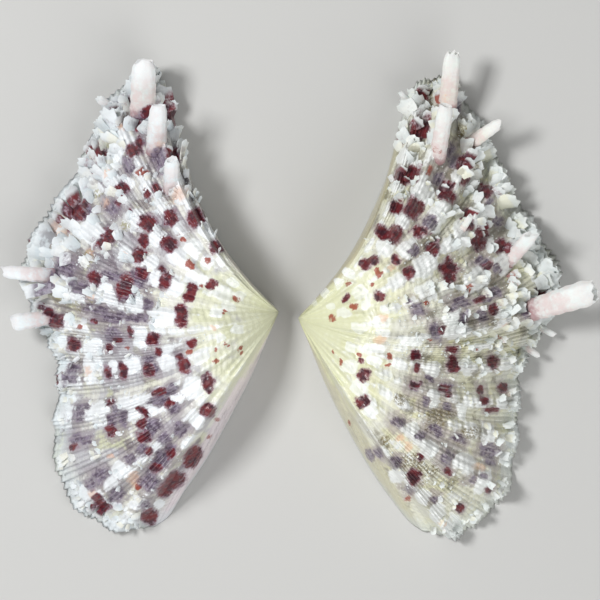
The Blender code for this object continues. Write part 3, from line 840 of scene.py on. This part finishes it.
spineLook = {
    "sides": 30, "rings": 26, "cup": 5,  # the cup's rings fold back down into the open tip
    "rootAlong": 0.9, "rootDown": 0.45, "flatness": 0.62, "curl": 0.07, "sharpAngle": 42,
    "ragged": ((1, 0.035), (2, 0.022), (3, 0.014), (7, 0.01)),  # waves round the tip, and their size
    "flutes": ((3, 0.06), (9, 0.035)), "bands": 0.035, "bandTurns": 34,
}


def makeSpines(valveName, finish):
    valve = valves[valveName]
    sides, rings, cup = (spineLook[name] for name in ("sides", "rings", "cup"))
    grid = np.meshgrid(np.arange(5.5, 20, 0.125), np.linspace(0.05, 1, 60))
    ground = outsideAt(valve, grid[0].ravel(), grid[1].ravel(), 0.0)[0]
    joined = bmesh.new()
    for number, (foot, tip, climb, width, flare) in enumerate(valve["spines"]):
        nearest = ground[np.argmin(((ground[:, :2] - foot) ** 2).sum(1))]
        base = np.array([*foot, nearest[2]])
        end = np.array([*tip, nearest[2] + climb])
        line = (end - base) / np.linalg.norm(end - base)
        start = base - line * spineLook["rootAlong"] - np.array([0, 0, spineLook["rootDown"]])
        across = np.cross(line, (0, 0, 1))
        across /= np.linalg.norm(across)
        lift = np.cross(across, line)
        mesh, ring, column = sheetOf("spine", sides, rings)
        turn = column / sides * math.tau
        draw = np.random.default_rng(valve["seed"] * 10 + number)
        ragged = sum(
            draw.normal(0, size) * np.cos(turn * wave + draw.random() * 6)
            for wave, size in spineLook["ragged"]
        )
        inCup, deep = ring < cup, (ring / cup) ** 0.6
        share = np.where(inCup, 0.88 + 0.12 * deep, 1 - (ring - cup) / (rings - cup))
        hollow = np.where(inCup, 0.2 + 0.75 * deep, 1.0) * (ring > 0)
        root = np.clip((rings - ring) / 2, 0, 1) ** 0.5
        rim = smoothStep(0.75, 1.0, share)
        share = share * (1 + ragged * rim * np.where(inCup, 0.7, 1.0))
        taper = 1 - 0.22 * smoothStep(0.88, 1.0, share)
        spread = width / 2 * (1 + (flare - 1) * share) * hollow * root * taper
        thick = spread * spineLook["flatness"] * (1 - 0.25 * share)
        flutes = 1 + sum(size * np.cos(wave * turn + number) for wave, size in spineLook["flutes"])
        bands = 1 + spineLook["bands"] * np.sin(share * spineLook["bandTurns"] + number) * (1 - rim)
        length = np.linalg.norm(end - start)
        curl = spineLook["curl"] * length * np.sin(np.pi * np.clip(share, 0, 1))
        spots = start + (end - start) * share[:, None]
        spots = spots + across * (np.cos(turn) * spread * flutes * bands)[:, None]
        spots = spots + lift * (np.sin(turn) * thick * flutes * bands + curl)[:, None]
        writeSpots(mesh, placeOnGround(spots, valve["side"]))
        writeFields(mesh, tip=share, chance=np.full(len(share), number * 0.37 % 1))
        closeSheet(mesh, ring, column)
        joined.from_mesh(mesh)
        bpy.data.meshes.remove(mesh)

    def footMarks(mesh):  # a spine is marked at its foot alone
        fade = 1 - smoothStep(0.25, 0.6, readField(mesh, "tip"))
        return {kind: field * fade for kind, field in markFields(valve, readSpots(mesh)).items()}

    addJoined(joined, valveName + "Spines", finish, valveName, spineLook["sharpAngle"], footMarks)
    print(valveName, "spines:", len(valve["spines"]))


# Materials: a socket that takes part in sums, and a finish that makes any node
class Flow:
    def __init__(self, finish, socket):
        self.finish, self.socket = finish, socket

    def sum(self, operation, first, second):
        return self.finish.node("ShaderNodeMath", {"operation": operation}, {0: first, 1: second})

    def __add__(self, other):
        return self.sum("ADD", self, other)

    def __radd__(self, other):
        return self.sum("ADD", other, self)

    def __sub__(self, other):
        return self.sum("SUBTRACT", self, other)

    def __rsub__(self, other):
        return self.sum("SUBTRACT", other, self)

    def __mul__(self, other):
        return self.sum("MULTIPLY", self, other)

    def __rmul__(self, other):
        return self.sum("MULTIPLY", other, self)


class Finish:
    def __init__(self, name):
        self.material = bpy.data.materials.new(name)
        self.material.use_nodes = True
        self.tree = self.material.node_tree
        self.shader = self.tree.nodes["Principled BSDF"]
        self.spot = self.node("ShaderNodeTexCoord", output="Object")

    def node(self, kind, settings=None, values=None, output=0):
        made = self.tree.nodes.new(kind)
        for key, value in (settings or {}).items():
            setattr(made, key, value)
        for key, value in (values or {}).items():
            self.feed(made.inputs[key], value)
        return Flow(self, made.outputs[output])

    def feed(self, socket, value):
        if isinstance(value, Flow):
            self.tree.links.new(value.socket, socket)
        else:
            socket.default_value = value

    def field(self, name):
        return self.node("ShaderNodeAttribute", {"attribute_name": name}, output="Fac")

    def noise(self, name):
        scale, detail, roughness = patterns[name]
        values = {"Vector": self.spot, "Scale": scale, "Detail": detail, "Roughness": roughness}
        return self.node("ShaderNodeTexNoise", values=values)

    def between(self, value, low, high):  # a smooth 0 to 1 as the value goes from low to high
        return self.node("ShaderNodeMapRange", {"interpolation_type": "SMOOTHSTEP"},
                         {"Value": value, "From Min": low, "From Max": high})

    def blend(self, first, second, factor):
        colours = {0: factor, 6: first, 7: second}
        return self.node("ShaderNodeMix", {"data_type": "RGBA"}, colours, output=2)

    def layers(self, colour, *coats):  # lays coats of (colour, how much of it) over a colour
        for coat, factor in coats:
            colour = self.blend(colour, coat, factor)
        return colour

    def paint(self, name, value):  # a value or a link for one socket of the shader
        self.feed(self.shader.inputs[name], value)

    def roughen(self, height, strength, distance):
        values = {"Strength": strength, "Distance": distance, "Height": height}
        self.paint("Normal", self.node("ShaderNodeBump", values=values))


def tone(red, green, blue):  # a colour as the eye names it, from 0 to 255
    linear = [((part / 255 + 0.055) / 1.055) ** 2.4 for part in (red, green, blue)]
    return (*linear, 1.0)


patterns = {  # noises, as scale, detail and roughness
    "wide": (170.0, 2.0, 0.55), "fine": (1300.0, 4.0, 0.6), "worn": (420.0, 4.0, 0.6),
    "cloud": (330.0, 4.0, 0.6), "beak": (520.0, 4.0, 0.65), "chalk": (2900.0, 3.0, 0.65),
    "stain": (240.0, 4.0, 0.6), "wet": (900.0, 3.0, 0.55), "grain": (3600.0, 4.0, 0.65),
    "ragged": (1500.0, 5.0, 0.7), "depth": (1000.0, 2.0, 0.55), "washed": (1150.0, 4.0, 0.65),
    "gritty": (3000.0, 3.0, 0.7), "tip": (1500.0, 3.0, 0.55), "patchy": (700.0, 4.0, 0.65),
    "scaleWet": (2200.0, 3.0, 0.55), "scaleGrain": (4200.0, 4.0, 0.65),
}
shellLook = {  # gap, lattice, halo and painted shade in mottled patches lie between the marks, the lattice colour also paints shade into the riblet troughs, and olive clouds the gap
    "left": {
        "white": tone(246, 250, 253), "cream": tone(240, 240, 228), "beak": tone(228, 230, 200),
        "gap": tone(196, 196, 200), "olive": tone(206, 208, 178), "oliveAt": 0.54,
        "lattice": tone(134, 124, 138), "margin": tone(214, 226, 230), "mottledShade": tone(112, 98, 108),
        "sideLow": tone(244, 232, 238), "sideHigh": tone(226, 222, 210), "stripe": tone(168, 140, 130),
        "wine": tone(112, 22, 30), "dark": tone(64, 14, 34), "plum": tone(72, 52, 80),
        "fringe": tone(146, 96, 120), "lilac": tone(148, 136, 156), "grit": tone(160, 154, 108),
        "tip": tone(232, 238, 240), "halo": tone(160, 150, 158), "rust": tone(154, 54, 24),
        "peach": tone(236, 190, 160), "porcelain": tone(250, 248, 244),
        "pink": tone(218, 196, 194), "foot": tone(150, 92, 104),
    },
    "right": {
        "white": tone(247, 250, 248), "cream": tone(242, 242, 220), "beak": tone(220, 222, 184),
        "gap": tone(222, 222, 210), "olive": tone(218, 216, 178), "oliveAt": 0.52,
        "lattice": tone(148, 144, 130), "margin": tone(216, 224, 222), "mottledShade": tone(122, 114, 96),
        "sideLow": tone(214, 210, 180), "sideHigh": tone(192, 184, 148), "stripe": tone(150, 132, 88),
        "wine": tone(110, 24, 32), "dark": tone(64, 18, 34), "plum": tone(74, 54, 84),
        "fringe": tone(148, 98, 118), "lilac": tone(152, 142, 158), "grit": tone(122, 108, 66),
        "tip": tone(232, 238, 236), "halo": tone(180, 170, 170), "rust": tone(156, 56, 24),
        "peach": tone(234, 186, 148), "porcelain": tone(248, 246, 238),
        "pink": tone(220, 196, 194), "foot": tone(150, 90, 98),
    },
}


def blockColours(finish, look, ground):
    # Lays the marks over the ground colour, each with an edge that the noise breaks up.
    ragged = (finish.noise("ragged") - 0.5) * 2.2
    depth = finish.between(finish.noise("depth"), 0.38, 0.66)
    halo = finish.between(finish.field("wine") + finish.field("plum") + ragged * 0.5, 0.05, 0.6)
    colour = finish.blend(ground, look["halo"], halo * 0.55)
    washed = finish.between(finish.noise("washed"), 0.44, 0.57)
    plum = finish.blend(look["plum"], look["lilac"], washed * 0.8)
    fringe = finish.between(finish.field("wine") + ragged * 0.4, 0.16, 0.55)
    gritty = finish.between(finish.noise("gritty"), 0.4, 0.56)
    wine = finish.blend(look["wine"], look["dark"], depth)
    for kind, paint, reach, soft in (
        ("peach", look["peach"], 0.55, 0.4), ("grit", look["grit"], gritty * 0.8, 0.35),
        ("rust", look["rust"], 0.9, 0.22), ("plum", plum, 0.86, 0.32), ("wine", wine, 0.97, 0.2),
    ):
        if kind == "wine":
            colour = finish.blend(colour, look["fringe"], fringe * 0.6)
        field = finish.field(kind)
        edge = finish.between(field + ragged * finish.between(field, 0.05, 0.35), 0.5 - soft, 0.5 + soft)
        colour = finish.blend(colour, paint, edge * reach)
    return colour


gloss = {
    "shellRoughness": 0.28, "coat": 0.3, "coatRoughness": 0.15, "shellBump": (0.45, 0.0002),
    "scaleRoughness": 0.34, "glow": 0.25, "glowDepth": 0.0008, "scaleBump": (0.4, 0.00015),
}


def shellFinish(valveName):
    look = shellLook[valveName]
    finish = Finish(valveName + "ShellFinish")
    growth, crest, riblet, block, groove, around, upper, side = (
        finish.field(name)
        for name in ("growth", "crest", "riblet", "block", "groove", "around", "upper", "side")
    )
    wide = finish.noise("wide")
    fine = finish.noise("fine") - 0.5
    olive = finish.between(wide, look["oliveAt"] - 0.05, look["oliveAt"] + 0.05)
    pale = finish.between(block + fine * 0.8, 0.1, 0.75)
    snow = finish.between(finish.field("snow") + fine * 0.7, 0.35, 0.62)
    raised = crest * 0.9 + block * 0.8 + fine * 1.1 - groove * 0.5 - around * 0.3
    whiteness = finish.between(raised, 0.75, 1.15) * (1 - side)
    grown = finish.between(growth, 0.3, 0.5)
    shade = finish.between(around + fine * 1.4 + wide * 0.6 - block * 0.3, 0.45, 0.95)
    # Painted shade in the grooves between the white blocks along the crests, laid in the dark mottled
    # shade colour
    grooveShade = groove * crest * finish.between(growth, 0.35, 0.6)
    stripe = finish.between(finish.field("stripe") + fine * 1.2, 0.1, 0.9) * upper
    worn = finish.between(finish.noise("worn"), 0.48, 0.66)
    sideTone = finish.layers(
        look["sideLow"], (look["sideHigh"], upper), (look["stripe"], stripe * 0.7),
        (look["lattice"], worn * 0.3),
    )
    outer = finish.between(growth, 0.5, 0.85) * upper
    # Painted shade: dark mottled patches standing in for the shade between blocks and scales, more on
    # the upper lobes towards the edge and fewer on the crests
    cloud = finish.noise("cloud") + upper * 0.05 + outer * 0.06 - crest * 0.04
    mottledShade = finish.between(cloud, 0.55, 0.66) * grown * (1 - side)
    ground = finish.layers(
        look["gap"], (look["olive"], olive), (look["cream"], pale * 0.7),
        (look["halo"], shade * grown * 0.7), (look["mottledShade"], grooveShade * 0.4),
        (sideTone, side * 0.85), (look["white"], whiteness), (look["mottledShade"], mottledShade * 0.7),
        (look["white"], snow * 0.95),
    )
    whitened = finish.between(whiteness + snow, 0.0, 1.0)
    rings = finish.node("ShaderNodeMath", {"operation": "SINE"}, {0: growth * 290.0 + fine * 2.0})
    # Partly painted shade: the lattice colour darkens the troughs between the riblets, where shade
    # falls, and also draws the shell's fine growth rings
    lattice = finish.between(riblet * -1.0, 0.1, 0.95) * 0.75 + finish.between(rings, 0.4, 1.0) * 0.35
    lattice = lattice * finish.between(growth, 0.3, 0.55) * (1 - whitened * 0.8)
    margin = finish.between(growth + fine * 0.1, 0.9, 0.99)
    beak = finish.between(growth + (finish.noise("beak") - 0.5) * 0.7, 0.44, 0.14)
    ground = finish.layers(
        ground, (look["lattice"], lattice * 0.36), (look["margin"], margin * 0.55),
        (look["beak"], beak * 0.85 * (1 - snow * 0.5)),
    )
    chalk = finish.between(finish.noise("chalk"), 0.57, 0.68)
    chalk = chalk * finish.between(growth, 0.3, 0.7) * (1 - finish.field("wine") * 0.8) * 0.4
    streak = finish.between(riblet + fine * 1.6, 0.2, 1.0) * finish.field("plum") * 0.55
    stained = finish.between(finish.noise("stain"), 0.42, 0.66)
    blush = finish.between(fine + wide, 0.5, 0.7)
    inner = finish.layers(
        look["porcelain"], (look["cream"], stained * 0.8), (look["sideLow"], blush * 0.5),
    )
    colour = finish.layers(
        blockColours(finish, look, ground), (look["halo"], streak), (look["white"], chalk),
        (inner, finish.field("inside")),
    )
    finish.paint("Base Color", colour)
    wet = gloss["shellRoughness"] + chalk * 0.3
    finish.paint("Roughness", wet + finish.noise("wet") * 0.14)
    grain = finish.noise("grain") + lattice * -0.3 - stripe * side * 0.8
    finish.roughen(grain, *gloss["shellBump"])
    finish.paint("Coat Weight", gloss["coat"])
    finish.paint("Coat Roughness", gloss["coatRoughness"])
    return finish.material


def scaleFinish(valveName, name, whiteFrom, pinkness):
    look = shellLook[valveName]
    finish = Finish(valveName + name)
    tip, chance = finish.field("tip"), finish.field("chance")
    # Painted shade on the scales: dark mottled patches, a little more towards a scale's root and weaker
    # on the pink spines, which also holds back the white tips
    scaleShade = finish.between(finish.noise("cloud") - tip * 0.1, 0.5, 0.62) * (1 - pinkness)
    ground = finish.layers(
        look["cream"], (look["white"], finish.between(chance, 0.1, 0.5)),
        (look["margin"], finish.between(chance, 0.5, 0.75) * 0.7), (look["mottledShade"], scaleShade * 0.55),
    )
    ragged = tip + (finish.noise("tip") - 0.5) * 0.35
    if pinkness:
        patchy = finish.between(finish.noise("patchy"), 0.3, 0.62)
        ground = finish.layers(
            ground, (look["margin"], 0.6), (look["pink"], patchy * pinkness),
            (look["foot"], finish.between(ragged, 0.3, 0.08) * 0.7),
        )
    colour = blockColours(finish, look, ground)
    whiten = finish.between(ragged, whiteFrom, whiteFrom + 0.3)
    colour = finish.blend(colour, look["tip"], whiten * (0.85 - pinkness * 0.35 - scaleShade * 0.4))
    finish.paint("Base Color", colour)
    finish.paint("Roughness", gloss["scaleRoughness"] + finish.noise("scaleWet") * 0.25)
    finish.paint("Subsurface Weight", gloss["glow"])
    finish.paint("Subsurface Scale", gloss["glowDepth"])
    finish.paint("Subsurface Radius", (1.0, 0.9, 0.8))
    finish.roughen(finish.noise("scaleGrain"), *gloss["scaleBump"])
    return finish.material


variants = range(scaleForm["variants"])
templates = {
    "petals": [scaleTemplate("petal", number) for number in variants],
    "pads": [scaleTemplate("pad", number) for number in variants],
    "crumbs": [crumbTemplate(number) for number in variants],
}
for valveName in valves:
    sampleRibs(valves[valveName])
    makeShell(valveName, shellFinish(valveName))
    makeScales(valveName, scaleFinish(valveName, "ScaleFinish", 0.55, 0.0), templates)
    makeSpines(valveName, scaleFinish(valveName, "SpineFinish", 0.5, 0.7))

for mesh in sum(templates.values(), []):
    bpy.data.meshes.remove(mesh)

studio = {
    "floor": tone(196, 196, 194), "floorSize": 0.9, "floorRoughness": 0.85, "world": 0.28,
    "lights": (  # name, spot, size and power
        ("keyLight", (-0.22, 0.08, 0.38), 0.1, 1.45),
        ("fillLight", (0.2, -0.32, 0.34), 0.4, 1.15),
    ),
}


def makeStudio():
    floor = bmesh.new()
    bmesh.ops.create_grid(floor, x_segments=1, y_segments=1, size=studio["floorSize"] / 2)
    mesh = meshFrom(floor, "floor")
    board = newObject("floor", mesh)
    paper = Finish("floorPaper")
    paper.paint("Base Color", studio["floor"])
    paper.paint("Roughness", studio["floorRoughness"])
    mesh.materials.append(paper.material)
    for name, spot, size, power in studio["lights"]:
        lamp = bpy.data.lights.new(name, "AREA")
        lamp.shape, lamp.size, lamp.energy = "SQUARE", size, power
        holder = newObject(name, lamp)
        holder.location = spot
        holder.rotation_euler = Vector(spot).to_track_quat("Z", "Y").to_euler()
    world = bpy.data.worlds.new("studioWorld")
    world.use_nodes = True
    sky = world.node_tree.nodes["Background"]
    sky.inputs["Color"].default_value = (1, 1, 1, 1)
    sky.inputs["Strength"].default_value = studio["world"]
    bpy.context.scene.world = world
    bpy.context.scene.view_settings.view_transform = "Standard"


def makeCamera():
    lens = bpy.data.cameras.new("photoCamera")
    lens.lens, lens.sensor_width = view["lens"], view["sensor"]
    lens.clip_start, lens.clip_end = 0.01, 5.0
    camera = newObject("photoCamera", lens)
    camera.location = (view["middle"][0] * mm, view["middle"][1] * mm, view["distance"] * mm)
    bpy.context.scene.camera = camera


makeStudio()
makeCamera()
print("studio and camera set")
